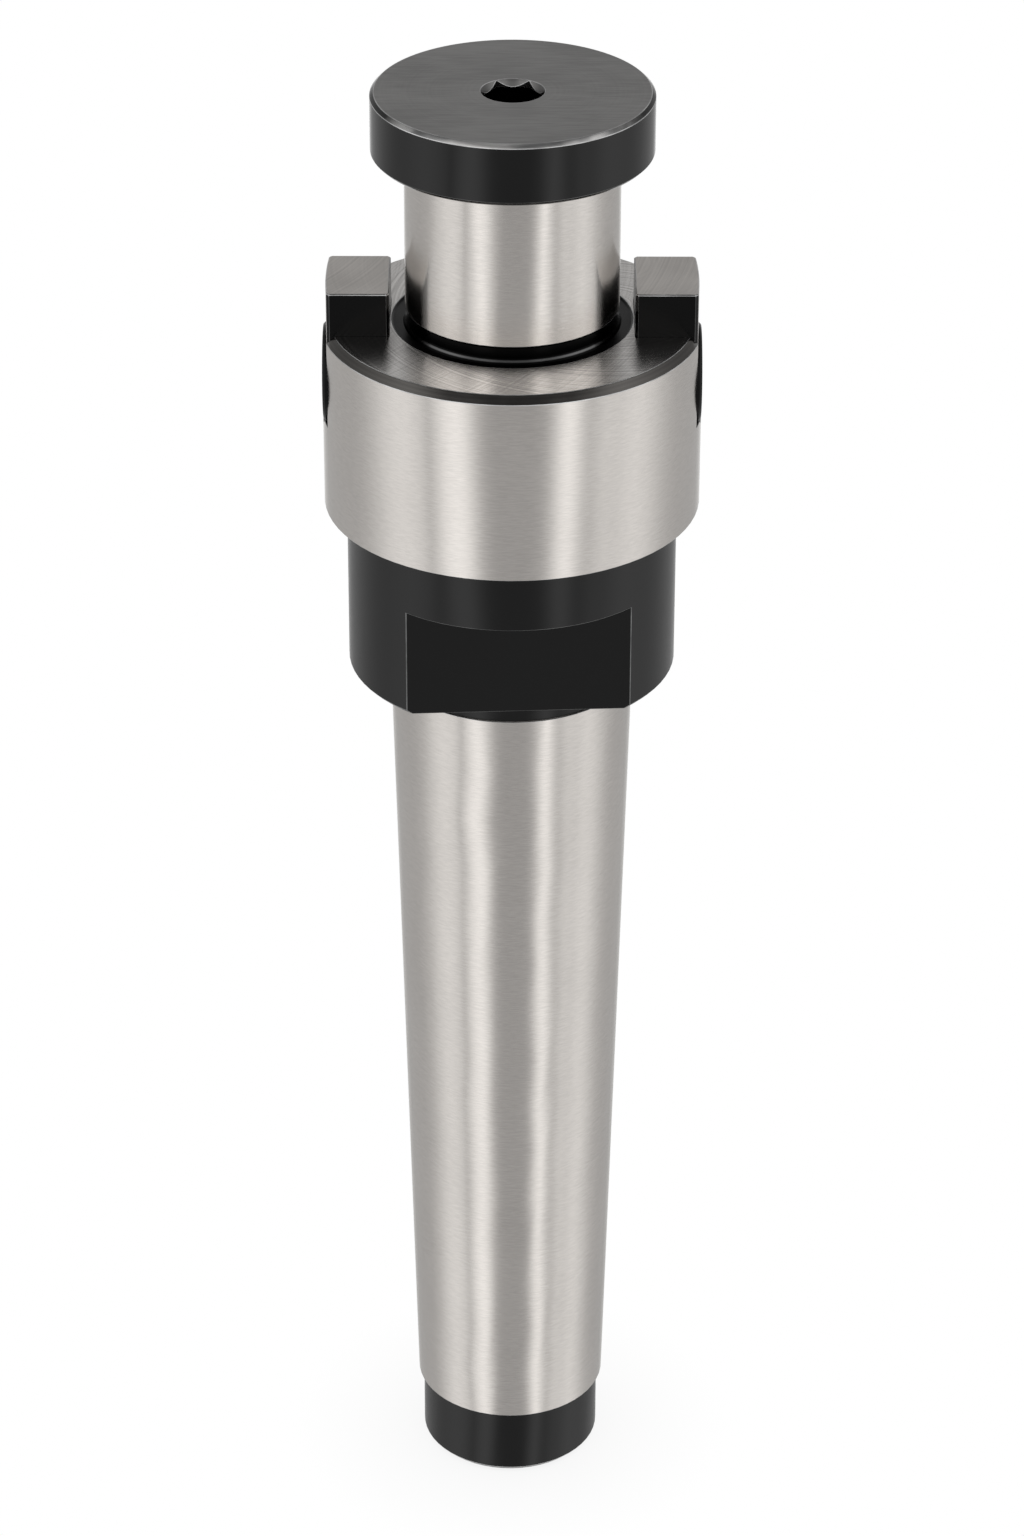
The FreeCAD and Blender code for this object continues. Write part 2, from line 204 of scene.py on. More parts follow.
class Graph:
    """A node tree under construction."""

    def __init__(self, tree: bpy.types.NodeTree) -> None:
        """Start from an empty tree."""
        self.tree = tree
        tree.nodes.clear()

    def node(
        self,
        kind: str,
        settings: dict[str, object] | None = None,
        inputs: dict[str | int, object] | None = None,
        output: str | int = 0,
    ) -> Signal | None:
        """Add a node.

        Args:
            kind: The node's type.
            settings: Its own settings, set first.
            inputs: Values or signals by socket name or number.
            output: The output to return.

        Returns:
            The chosen output, or None for a node that has no output.
        """
        made = self.tree.nodes.new(kind)
        for name, value in (settings or {}).items():
            setattr(made, name, value)
        for name, value in (inputs or {}).items():
            if isinstance(value, Signal):
                self.tree.links.new(value.socket, made.inputs[name])
            else:
                made.inputs[name].default_value = value
        return Signal(self, made.outputs[output]) if made.outputs else None

    def mix(self, factor: Signal | float, low: object, high: object) -> Signal:
        """Blend two colours."""
        inputs = {0: factor, 6: low, 7: high}
        return self.node("ShaderNodeMix", {"data_type": "RGBA"}, inputs, output=2)

    def greys(self, factor: Signal | float, low: float, high: float, warmth: float = 0.0) -> Signal:
        """Blend two greys of the same warmth."""
        return self.mix(factor, grey(low, warmth), grey(high, warmth))

    def split(self, vector: Signal) -> tuple[Signal, ...]:
        """Return a vector's three coordinates.

        Args:
            vector: The vector.

        Returns:
            The coordinates.
        """
        parts = self.tree.nodes.new("ShaderNodeSeparateXYZ")
        self.tree.links.new(vector.socket, parts.inputs[0])
        return tuple(Signal(self, out) for out in parts.outputs)

    def noise(self, point: Signal, grain: Grain) -> Signal:
        """Return noise with a grain that may be stretched along an axis.

        Args:
            point: The point that the noise reads.
            grain: How dense and how broken it is.

        Returns:
            The noise, from 0 to 1.
        """
        place = {"Vector": point, "Scale": (grain.x, grain.y, grain.z)}
        spread = self.node("ShaderNodeMapping", None, place)
        inputs = {"Vector": spread, "Scale": 1.0, "Detail": grain.detail}
        return self.node("ShaderNodeTexNoise", None, inputs)

    def rings(self, reach: Signal, scale: float, detail: float) -> Signal:
        """Return noise that only changes with a distance."""
        inputs = {"W": reach * scale, "Scale": 1.0, "Detail": detail}
        return self.node("ShaderNodeTexNoise", {"noise_dimensions": "1D"}, inputs)

    def bump(self, height: Signal, distance: float, strength: float) -> Signal:
        """Turn a height into a normal."""
        inputs = {"Height": height, "Distance": distance, "Strength": strength}
        return self.node("ShaderNodeBump", None, inputs, output="Normal")


def grey(level: float, warmth: float = 0.0) -> Colour:
    """Return a grey, made warmer by a small share of its level."""
    return (level * (1.0 + warmth), level, level * (1.0 - warmth), 1.0)


# Finishes
@dataclass(frozen=True)
class GroundSteel:
    """Bare steel off the grinding wheel.

    The stretch is how far its fine lines draw out a reflection, and the rotation is the
    share of a full turn that lays it across them. Names that start with face are for
    the flange's flat face.
    """

    level: float = 0.67
    warmth: float = 0.05
    least: float = 0.93
    span: float = 0.11
    roughness: float = 0.17
    mottle: float = 0.03
    stretch: float = 0.94
    rotation: float = 0.25
    relief: Pair = (0.005 * MM, 0.7)
    line_height: float = 0.09
    hair_height: float = 0.6
    fine_share: float = 0.78
    stain_share: float = 0.3
    tone_edge: Pair = (0.5, 0.16)
    fine: Grain = Grain(900.0, 900.0, 9000.0)
    short: Grain = Grain(420.0, 420.0, 3600.0)
    hair: Grain = Grain(600.0, 600.0, 21000.0, 1.0)
    stain: Grain = Grain(90.0, 90.0, 60.0, 4.0)
    face_warmth: float = 0.028
    face_span: float = 0.42
    face_dip: float = 0.06
    face_roughness: float = 0.18
    face_height: float = 2.6
    arc_rings: Pair = (2600.0, 5.0)
    arc_centres: tuple[Pair, ...] = ((12.0 * MM, 4.0 * MM), (-52.0 * MM, 18.0 * MM))

    def lines(self, graph: Graph, point: Signal) -> Signal:
        """Return short fine lines round the axis.

        Args:
            graph: The material's graph.
            point: The point that the pattern reads.

        Returns:
            Their height, from 0 to 1.
        """
        fine = graph.noise(point, self.fine)
        short = graph.noise(point, self.short)
        return fine * self.fine_share + short * (1.0 - self.fine_share)

    def arcs(self, graph: Graph, x: Signal, y: Signal, share: float) -> Signal:
        """Return crossing arcs, as a cup wheel leaves them on a flat face.

        Args:
            graph: The material's graph.
            x: The point's first coordinate.
            y: The point's second coordinate.
            share: The part of the height that the first family of arcs has.

        Returns:
            Their height, from 0 to 1.
        """
        first, second = (
            graph.rings((x - centre_x).hypot(y - centre_y), *self.arc_rings)
            for centre_x, centre_y in self.arc_centres
        )
        return first * share + second * (1.0 - share)

    def colour(self, graph: Graph, lines: Signal, stain: Signal, face: Signal) -> Signal:
        """Return the metal's colour.

        Args:
            graph: The material's graph.
            lines: The height of the grinding lines.
            stain: Its broad unevenness.
            face: The mask of the flat face, whose colour varies more.

        Returns:
            The colour.
        """
        tone = lines * (1.0 - self.stain_share) + stain * self.stain_share
        tone = tone.above(*self.tone_edge)
        warmth = graph.mix(face, grey(1.0, self.warmth), grey(1.0, self.face_warmth))
        uneven = face * (tone * self.face_span - self.face_dip)
        level = self.level * (self.least + tone * self.span + uneven)
        return graph.node("ShaderNodeVectorMath", {"operation": "SCALE"}, {0: warmth, "Scale": level})


@dataclass(frozen=True)
class BlackOxide:
    """Steel turned black in the salt bath, with a thin film of oil and a fine mottle."""

    level: float = 0.0004
    spread: float = 0.5
    roughness: float = 0.2
    mottle: float = 0.08
    specular: float = 0.39
    soot: Grain = Grain(700.0, 700.0, 700.0, 4.0)
    soot_height: float = 0.1
    relief: Pair = (0.004 * MM, 0.1)

    def colour(self, graph: Graph, soot: Signal) -> Signal:
        """Return the faintly mottled black."""
        return graph.greys(soot, self.level * (1.0 - self.spread), self.level * (1.0 + self.spread))

    def rough(self, soot: Signal) -> Signal:
        """Return the roughness, which the mottle varies."""
        return self.roughness + soot * self.mottle

    def material(self, name: str) -> bpy.types.Material:
        """Return a material that is black oxide all over.

        Args:
            name: The material's name.

        Returns:
            The material.
        """
        material = Material(name)
        soot = material.graph.noise(material.point, self.soot)
        return material.finish(
            Base_Color=self.colour(material.graph, soot),
            Roughness=self.rough(soot),
            Normal=material.graph.bump(soot, *self.relief),
            Specular_IOR_Level=self.specular,
        )


@dataclass(frozen=True)
class ThinBlack:
    """Black oxide that is thin and grey over fine machining marks, and painted bright bare where
    worn, as wear and as a painted highlight.
    """

    level: float = 0.29
    low: float = 0.84
    high: float = 1.15
    warmth: float = 0.016
    metallic: float = 0.9
    roughness: float = 0.33
    mottle: float = 0.05
    relief: Pair = (0.004 * MM, 0.5)
    strokes: Grain = Grain(260.0, 3400.0, 260.0, 3.0)
    haze: Grain = Grain(90.0, 110.0, 90.0, 3.0)
    rings: Pair = (2600.0, 3.0)
    tone_edge: Pair = (0.5, 0.16)
    stroke_tone: float = 0.5
    ring_tone: float = 0.1
    haze_tone: float = 0.4
    stroke_height: float = 0.8
    ring_height: float = 0.2
    mouth_level: float = 0.55
    # Painted highlight with wear: the bright level of the chamfer's patches along the front
    highlight_wear_level: float = 0.62
    highlight_wear_low: float = 0.45
    highlight_wear_edge: Pair = (0.5, 0.14)
    worn_roughness: float = 0.3
    patches: Grain = Grain(210.0, 210.0, 210.0)

    def colour(self, graph: Graph, strokes: Signal, rings: Signal, haze: Signal) -> Signal:
        """Return the thin grey of a face that still has its oxide.

        Args:
            graph: The material's graph.
            strokes: The height of the marks along one direction.
            rings: The height of the marks round the axis.
            haze: The broad unevenness.

        Returns:
            The colour.
        """
        tone = strokes * self.stroke_tone + rings * self.ring_tone + haze * self.haze_tone
        tone = tone.above(*self.tone_edge)
        return graph.greys(tone, self.level * self.low, self.level * self.high, self.warmth)

    def highlight_wear_and_mouth(self, graph: Graph, patches: Signal, mouth: Signal) -> Signal:
        """Return the patchy grey of a worn edge with a painted highlight, or of the socket's mouth.

        Args:
            graph: The material's graph.
            patches: The noise that the wear follows.
            mouth: The mask of the socket's mouth.

        Returns:
            The colour.
        """
        dull = grey(self.highlight_wear_level * self.highlight_wear_low)
        rubbed = graph.mix(patches.above(*self.highlight_wear_edge), dull, grey(self.highlight_wear_level, self.warmth))
        return graph.mix(mouth, rubbed, grey(self.level * self.mouth_level, self.warmth))


@dataclass(frozen=True)
class RubbedEdgeAndHighlight:
    """Bare steel on the edges, partly where an edge has been rubbed and partly a painted highlight.

    Between two heights only a faint share of the bare steel's level shows, as oxide that
    still covers most of each edge and as less painted highlight there.
    """

    low: float = 0.40
    high: float = 0.78
    roughness: float = 0.3
    mottle: float = 0.1
    faint: float = 0.32
    faint_blur: float = 0.05 * MM
    rub: Grain = Grain(260.0, 260.0, 260.0, 3.0)
    rub_edge: Pair = (0.5, 0.25)

    def material(self, name: str, faint_from: float, faint_to: float) -> bpy.types.Material:
        """Return the material of rubbed edges and their painted highlight.

        Args:
            name: The material's name.
            faint_from: The height from which the edges are faint.
            faint_to: The height up to which they are.

        Returns:
            The material.
        """
        material = Material(name)
        graph = material.graph
        # Painted highlight with wear: the rounded edges are painted bright bare steel, standing for
        # their highlights as well as rubbing
        rub = graph.noise(material.point, self.rub)
        patchy = rub.above(*self.rub_edge)
        bare = graph.greys(patchy, self.low, self.high)
        covered = graph.greys(patchy, self.low * self.faint, self.high * self.faint)
        faint = material.z.between(faint_from, faint_to, self.faint_blur)
        return material.finish(
            Base_Color=graph.mix(faint, bare, covered),
            Metallic=1.0,
            Roughness=self.roughness + rub * self.mottle,
        )


@dataclass
class Material:
    """A material under construction, with the coordinates that its patterns read."""

    name: str
    made: bpy.types.Material = field(init=False)
    graph: Graph = field(init=False)
    point: Signal = field(init=False)
    x: Signal = field(init=False)
    y: Signal = field(init=False)
    z: Signal = field(init=False)

    def __post_init__(self) -> None:
        """Make the empty material."""
        self.made = bpy.data.materials.new(self.name)
        self.made.use_nodes = True
        self.graph = Graph(self.made.node_tree)
        self.point = self.graph.node("ShaderNodeTexCoord", output="Object")
        self.x, self.y, self.z = self.graph.split(self.point)

    def finish(self, **sockets: object) -> bpy.types.Material:
        """Close the material with a principled shader.

        Args:
            sockets: The shader's values or signals, with underscores for spaces.

        Returns:
            The material.
        """
        values = {name.replace("_", " "): value for name, value in sockets.items()}
        shader = self.graph.node("ShaderNodeBsdfPrincipled", None, values)
        self.graph.node("ShaderNodeOutputMaterial", None, {"Surface": shader})
        return self.made


# Meshes from the solids
@dataclass(frozen=True)
class Rounding:
    """How sharp edges are rounded."""

    width: float = 0.06 * MM
    segments: int = 2
    angle: float = SHARP_ANGLE


def merged_copy(source: bpy.types.Object, name: str) -> bpy.types.Object:
    """Return a copy of a solid's mesh with its doubled points merged.

    Args:
        source: The solid.
        name: The copy's name.

    Returns:
        The copy, without materials.
    """
    mesh = bpy.data.meshes.new(name)
    shape = bmesh.new()
    shape.from_mesh(source.data)
    bmesh.ops.remove_doubles(shape, verts=shape.verts, dist=MERGE_LENGTH)
    shape.to_mesh(mesh)
    shape.free()
    mesh.materials.clear()
    copy = bpy.data.objects.new(name, mesh)
    bpy.context.scene.collection.objects.link(copy)
    return copy


def apply_modifiers(piece: bpy.types.Object) -> None:
    """Replace a piece's mesh by the result of its modifiers.

    Args:
        piece: The piece.
    """
    graph = bpy.context.evaluated_depsgraph_get()
    mesh = bpy.data.meshes.new_from_object(piece.evaluated_get(graph))
    piece.modifiers.clear()
    old = piece.data
    piece.data = mesh
    bpy.data.meshes.remove(old)


def round_edges(piece: bpy.types.Object, rounding: Rounding) -> None:
    """Round a piece's sharp outer edges, with its second material on the new faces.

    Args:
        piece: The piece.
        rounding: How its edges are rounded.
    """
    shape = bmesh.new()
    shape.from_mesh(piece.data)
    weight = shape.edges.layers.float.new("bevel_weight_edge")
    for edge in shape.edges:
        sharp = len(edge.link_faces) == 2 and edge.calc_face_angle() > rounding.angle
        edge[weight] = 1.0 if sharp and edge.is_convex else 0.0
    shape.to_mesh(piece.data)
    shape.free()
    bevel = piece.modifiers.new("edges", "BEVEL")
    bevel.limit_method = "WEIGHT"
    bevel.use_clamp_overlap = False
    bevel.width = rounding.width
    bevel.segments = rounding.segments
    bevel.material = 1
    apply_modifiers(piece)


def keep_within(piece: bpy.types.Object, box: Box) -> None:
    """Pull the few points that rounding has pushed out of a box back onto its sides.

    Args:
        piece: The piece.
        box: The lowest and highest corner of its solid.
    """
    low, high = box
    for vertex in piece.data.vertices:
        sides = zip(vertex.co, low, high)
        vertex.co = [min(max(place, least), most) for place, least, most in sides]


def smooth_by_angle(piece: bpy.types.Object, angle: float) -> None:
    """Shade a mesh smooth apart from sharp edges, with normals that its large faces set.

    Args:
        piece: The piece.
        angle: The angle between two faces from which their edge is sharp.
    """
    shape = bmesh.new()
    shape.from_mesh(piece.data)
    for face in shape.faces:
        face.smooth = True
    for edge in shape.edges:
        edge.smooth = len(edge.link_faces) == 2 and edge.calc_face_angle() < angle
    shape.to_mesh(piece.data)
    shape.free()
    normals = piece.modifiers.new("normals", "WEIGHTED_NORMAL")
    normals.mode = "FACE_AREA"
    normals.weight = NORMAL_WEIGHT
    normals.keep_sharp = True
    apply_modifiers(piece)


def cut(piece: bpy.types.Object, cutter: bpy.types.Object, weld: float = WELD_LENGTH) -> None:
    """Cut one closed mesh out of another and remove the cutter.

    Args:
        piece: What is cut.
        cutter: What is cut out of it.
        weld: The length up to which the cut's shortest edges are closed up.
    """
    modifier = piece.modifiers.new("cut", "BOOLEAN")
    modifier.operation = "DIFFERENCE"
    modifier.solver = "EXACT"
    modifier.object = cutter
    apply_modifiers(piece)
    bpy.data.objects.remove(cutter, do_unlink=True)
    shape = bmesh.new()
    shape.from_mesh(piece.data)
    bmesh.ops.remove_doubles(shape, verts=shape.verts, dist=weld)
    bmesh.ops.dissolve_degenerate(shape, dist=weld, edges=shape.edges)
    shape.to_mesh(piece.data)
    shape.free()


def ringed_cutter(name: str, rings: tuple[Pair, ...], sides: int) -> bpy.types.Object:
    """Make a closed upright cutter from rings of points.

    Args:
        name: The new object's name.
        rings: The radius and height of each ring, from the lowest up.
        sides: The points of each ring, the first of them on the x axis.

    Returns:
        The cutter.
    """
    shape = bmesh.new()
    turns = [2.0 * math.pi * step / sides for step in range(sides)]
    rows = [
        [shape.verts.new((reach * math.cos(turn), reach * math.sin(turn), height)) for turn in turns]
        for reach, height in rings
    ]
    shape.faces.new(rows[0][::-1])
    shape.faces.new(rows[-1])
    for low, high in zip(rows, rows[1:]):
        for near in range(sides):
            far = (near + 1) % sides
            shape.faces.new((low[near], low[far], high[far], high[near]))
    mesh = bpy.data.meshes.new(name)
    shape.to_mesh(mesh)
    shape.free()
    cutter = bpy.data.objects.new(name, mesh)
    bpy.context.scene.collection.objects.link(cutter)
    return cutter


# Screw threads
@dataclass(frozen=True)
class HelixProfile:
    """One turn of a thread: four corners swept along a right-handed helix.

    The base lies at the radius plus base_reach and the tip at the radius plus
    tip_reach, so a negative reach points towards the axis.
    """

    radius: float
    pitch: float
    bottom: float
    turns: float
    base_reach: float
    tip_reach: float
    base_half: float
    tip_half: float


class HelixTree:
    """The Geometry Nodes tree that sweeps a thread's profile."""

    SIZES = (
        "Radius", "Pitch", "Bottom", "Turns", "Base Reach", "Tip Reach", "Base Half", "Tip Half",
    )

    def __init__(self, steps: int = 64) -> None:
        """Build the tree.

        Args:
            steps: The points along one turn.
        """
        self.tree = bpy.data.node_groups.new("thread_helix", "GeometryNodeTree")
        self.inputs = {name: self.socket(name, "INPUT", "NodeSocketFloat") for name in self.SIZES}
        self.inputs["Finish"] = self.socket("Finish", "INPUT", "NodeSocketMaterial")
        self.socket("Thread", "OUTPUT", "NodeSocketGeometry")
        graph = Graph(self.tree)
        group = self.tree.nodes.new("NodeGroupInput")
        size = {name: Signal(graph, group.outputs[name]) for name in self.inputs}
        helix = graph.node(
            "GeometryNodeCurveSpiral",
            None,
            {
                "Resolution": steps,
                "Rotations": size["Turns"],
                "Start Radius": size["Radius"],
                "End Radius": size["Radius"],
                "Height": size["Turns"] * size["Pitch"],
                "Reverse": True,
            },
        )
        upright = graph.node("GeometryNodeSetCurveNormal", {"mode": "Z_UP"}, {"Curve": helix})
        corners = {}
        order = (("Base", 1.0), ("Tip", 1.0), ("Tip", -1.0), ("Base", -1.0))
        for number, (end, side) in enumerate(order, start=1):
            place = {"X": size[f"{end} Reach"], "Y": size[f"{end} Half"] * side}
            corners[f"Point {number}"] = graph.node("ShaderNodeCombineXYZ", None, place)
        settings = {"mode": "POINTS"}
        profile = graph.node("GeometryNodeCurvePrimitiveQuadrilateral", settings, corners)
        swept = graph.node(
            "GeometryNodeCurveToMesh",
            None,
            {"Curve": upright, "Profile Curve": profile, "Fill Caps": True},
        )
        shift = graph.node("ShaderNodeCombineXYZ", None, {"Z": size["Bottom"]})
        placed = graph.node("GeometryNodeTransform", None, {"Geometry": swept, "Translation": shift})
        real = graph.node("GeometryNodeRealizeInstances", None, {"Geometry": placed})
        finish = {"Geometry": real, "Material": size["Finish"]}
        dressed = graph.node("GeometryNodeSetMaterial", None, finish)
        graph.node("NodeGroupOutput", None, {"Thread": dressed})

    def socket(self, name: str, way: str, kind: str) -> bpy.types.NodeTreeInterfaceSocket:
        """Add a named input or output to the tree."""
        return self.tree.interface.new_socket(name, in_out=way, socket_type=kind)

    def sweep(self, name: str, profile: HelixProfile, finish: bpy.types.Material) -> bpy.types.Object:
        """Sweep one thread.

        Args:
            name: The new object's name.
            profile: Its sizes.
            finish: Its material.

        Returns:
            The object, with a closed mesh whose faces point outwards.
        """
        thread = bpy.data.objects.new(name, bpy.data.meshes.new(name))
        bpy.context.scene.collection.objects.link(thread)
        modifier = thread.modifiers.new("helix", "NODES")
        modifier.node_group = self.tree
        for label in self.SIZES:
            value = getattr(profile, label.lower().replace(" ", "_"))
            modifier[self.inputs[label].identifier] = value
        modifier[self.inputs["Finish"].identifier] = finish
        apply_modifiers(thread)
        shape = bmesh.new()
        shape.from_mesh(thread.data)
        bmesh.ops.recalc_face_normals(shape, faces=shape.faces)
        shape.to_mesh(thread.data)
        shape.free()
        return thread


# The arbor's pieces
@dataclass
class Shop:
    """What the pieces are made with."""

    frame: dict
    helix: HelixTree
    edge: bpy.types.Material
    steel: GroundSteel = field(default_factory=GroundSteel)

    def copy(
        self,
        node: Node,
        material: bpy.types.Material,
        rounding: Rounding,
        edge: bpy.types.Material | None = None,
        cutters: tuple[bpy.types.Object, ...] = (),
    ) -> bpy.types.Object:
        """Return a rounded and dressed copy of a solid.

        Args:
            node: The solid.
            material: The material of its faces.
            rounding: How its edges are rounded.
            edge: The material of the edges, where it isn't the usual one.
            cutters: What is cut out of the copy before its edges are rounded.

        Returns:
            The copy.
        """
        piece = merged_copy(self.frame["nodes"][node.value], f"{node.value}_finish")
        piece.data.materials.append(material)
        for cutter in cutters:
            cut(piece, cutter, rounding.width)
        piece.data.materials.append(edge or self.edge)
        round_edges(piece, rounding)
        keep_within(piece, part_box(node.value))
        return piece

    def fit(self, piece: bpy.types.Object, body: Body, node: Node, replaces: bool = True) -> None:
        """Shade a piece, and let it ride and stand for its solid.

        Args:
            piece: The piece.
            body: What it moves with.
            node: The solid that it belongs to.
            replaces: Whether it takes the solid's place.
        """
        smooth_by_angle(piece, SHARP_ANGLE)
        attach(piece, body.value)
        if replaces:
            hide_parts(node.value)
        LOG.info("%s: %d faces", piece.name, len(piece.data.polygons))


@dataclass(frozen=True)
class ArborMasks:
    """Where each finish of the arbor lies, from 0 to 1."""

    ground: Signal
    face: Signal
    chamfer: Signal
    groove: Signal
    groove_line: Signal


@dataclass
class ArborBody:
    """Shank, collar, flange and pilot, with the threads in their ends.

    A skin is how far below its surface a finish still counts, and a blur is half the
    width of its border.
    """

    spigot_top: float = 10.3 * MM
    shank_inner: float = 12.0 * MM
    neck_low: float = 122.3 * MM
    flange_low: float = 146.9 * MM
    flange_top: float = 171.9 * MM
    flange_radius: float = 24.0 * MM
    flange_chamfer: float = 1.0 * MM
    relief_radius: float = 15.3 * MM
    pilot_low: float = 173.9 * MM
    pilot_high: float = 193.3 * MM
    pilot_radius: float = 13.5 * MM
    blur: float = 0.03 * MM
    rim_skin: float = 0.1 * MM
    face_skin: float = 0.06 * MM
    pilot_skin: float = 0.2 * MM
    oxide: BlackOxide = BlackOxide(mottle=0.06)
    bore_oxide: BlackOxide = BlackOxide()
    first_arcs: float = 0.66
    chamfer_level: float = 0.105
    chamfer_spread: float = 0.2
    chamfer_warmth: float = 0.05
    chamfer_polish: float = 0.09
    chamfer_rings: Pair = (5200.0, 2.0)
    groove_depth: float = 0.5 * MM
    groove_inner: float = 12.9 * MM
    groove_outer: float = 15.28 * MM
    # Painted shade and highlight: the groove's near-black metal darkens the recess beyond its oxide,
    # and the brighter line stands for the highlight in its corner
    groove_oxide_and_shade_level: float = 0.006
    line_low: float = 171.82 * MM
    line_high: float = 172.02 * MM
    line_blur: float = 0.06 * MM
    highlight_line_level: float = 0.16
    edge_drop: float = 0.05 * MM
    rounding: Rounding = Rounding()
    drawbar: HelixProfile = HelixProfile(
        radius=7.0 * MM, pitch=2.0 * MM, bottom=-2.0 * MM, turns=18.0,
        base_reach=-0.1 * MM, tip_reach=1.0 * MM, base_half=0.75 * MM, tip_half=0.125 * MM,
    )
    tapped: HelixProfile = HelixProfile(
        radius=6.05 * MM, pitch=1.75 * MM, bottom=169.4 * MM, turns=13.0,
        base_reach=0.08 * MM, tip_reach=-0.93 * MM, base_half=0.66 * MM, tip_half=0.2 * MM,
    )

    def masks(self, z: Signal, reach: Signal) -> ArborMasks:
        """Return where each finish lies.

        Args:
            z: The point's height.
            reach: Its distance from the axis.

        Returns:
            The masks.
        """
        blur = self.blur
        shoulder = self.flange_top - self.flange_chamfer
        chamfer_inner = self.flange_radius - self.flange_chamfer
        face_low = self.flange_top - self.face_skin
        taper = z.between(self.spigot_top + blur, self.neck_low, blur)
        taper = taper * reach.above(self.shank_inner, blur)
        rim = z.between(self.flange_low, shoulder, blur)
        rim = rim * reach.above(self.flange_radius - self.rim_skin, blur)
        face = z.between(face_low, self.flange_top + self.rim_skin, blur)
        face = face * reach.between(self.relief_radius, chamfer_inner, blur)
        pilot = z.between(self.pilot_low, self.pilot_high, blur)
        pilot = pilot * reach.above(self.pilot_radius - self.pilot_skin, blur)
        ground = taper + rim + face + pilot

        chamfer = z.between(shoulder, face_low, blur) * reach.above(chamfer_inner - blur, blur)
        groove = z.between(self.flange_top - self.groove_depth, self.pilot_low, blur)
        groove = groove * reach.between(self.groove_inner, self.groove_outer, blur)
        line = z.between(self.line_low, self.line_high, self.line_blur)
        black = 1.0 - ground
        return ArborMasks(ground, face, chamfer * black, groove * black, line)

    def material(self, steel: GroundSteel) -> bpy.types.Material:
        """Return ground steel on the taper, rim, face and pilot, and black elsewhere.

        Args:
            steel: The ground finish.

        Returns:
            The material.
        """
        material = Material("arbor_steel")
        graph, point = material.graph, material.point
        reach = material.x.hypot(material.y)
        mask = self.masks(material.z, reach)
        black = 1.0 - mask.ground

        # Short fine lines round the axis, and crossed arcs on the face
        arcs = steel.arcs(graph, material.x, material.y, self.first_arcs)
        lines = steel.lines(graph, point).fade(arcs, mask.face)
        hair = graph.noise(point, steel.hair)
        stain = graph.noise(point, steel.stain)
        bright = steel.colour(graph, lines, stain, mask.face)
        rough = steel.roughness + (lines + stain) * steel.mottle
        rough = rough + mask.face * (steel.face_roughness - steel.roughness)
        grain = lines * (mask.ground * (steel.line_height + mask.face * steel.face_height))
        grain = grain + hair * (mask.ground * steel.hair_height) * (1.0 - mask.face)

        # The flange's chamfer is turned after the oxide, and only thinly black
        soot = graph.noise(point, self.oxide.soot)
        turning = graph.rings(reach, *self.chamfer_rings)
        low = self.chamfer_level * (1.0 - self.chamfer_spread)
        high = self.chamfer_level * (1.0 + self.chamfer_spread)
        thin = graph.greys(turning, low, high, self.chamfer_warmth)
        dark = graph.mix(mask.chamfer, self.oxide.colour(graph, soot), thin)
        dull = self.oxide.rough(soot) - mask.chamfer * self.chamfer_polish
        grain = grain + (soot * self.oxide.soot_height + turning * mask.chamfer) * black

        # The groove at the foot of the pilot is black oxide painted blacker than elsewhere, as
        # painted shade in the recess, with a painted highlight line in its corner
        pit = graph.greys(mask.groove_line, self.groove_oxide_and_shade_level, self.highlight_line_level)
        dark = graph.mix(mask.groove, dark, pit)

        return material.finish(
            Base_Color=graph.mix(mask.ground, dark, bright),
            Metallic=mask.ground + mask.chamfer + mask.groove,
            Roughness=dull.fade(rough, mask.ground),
            Normal=graph.bump(grain, *steel.relief),
            Specular_IOR_Level=self.oxide.specular,
            Anisotropic=steel.stretch,
            Anisotropic_Rotation=steel.rotation,
        )

    def build(self, shop: Shop) -> None:
        """Make the body and the thread of its tapped hole.

        Args:
            shop: What the pieces are made with.
        """
        body = shop.copy(Node.ARBOR, self.material(shop.steel), self.rounding)
        cut(body, shop.helix.sweep("drawbar_thread_cutter", self.drawbar, body.data.materials[0]))
        shop.fit(body, Body.ARBOR, Node.ARBOR)
        bore = self.bore_oxide.material("tapped_bore_oxide")
        thread = shop.helix.sweep("pilot_thread", self.tapped, bore)
        shop.fit(thread, Body.ARBOR, Node.ARBOR, replaces=False)


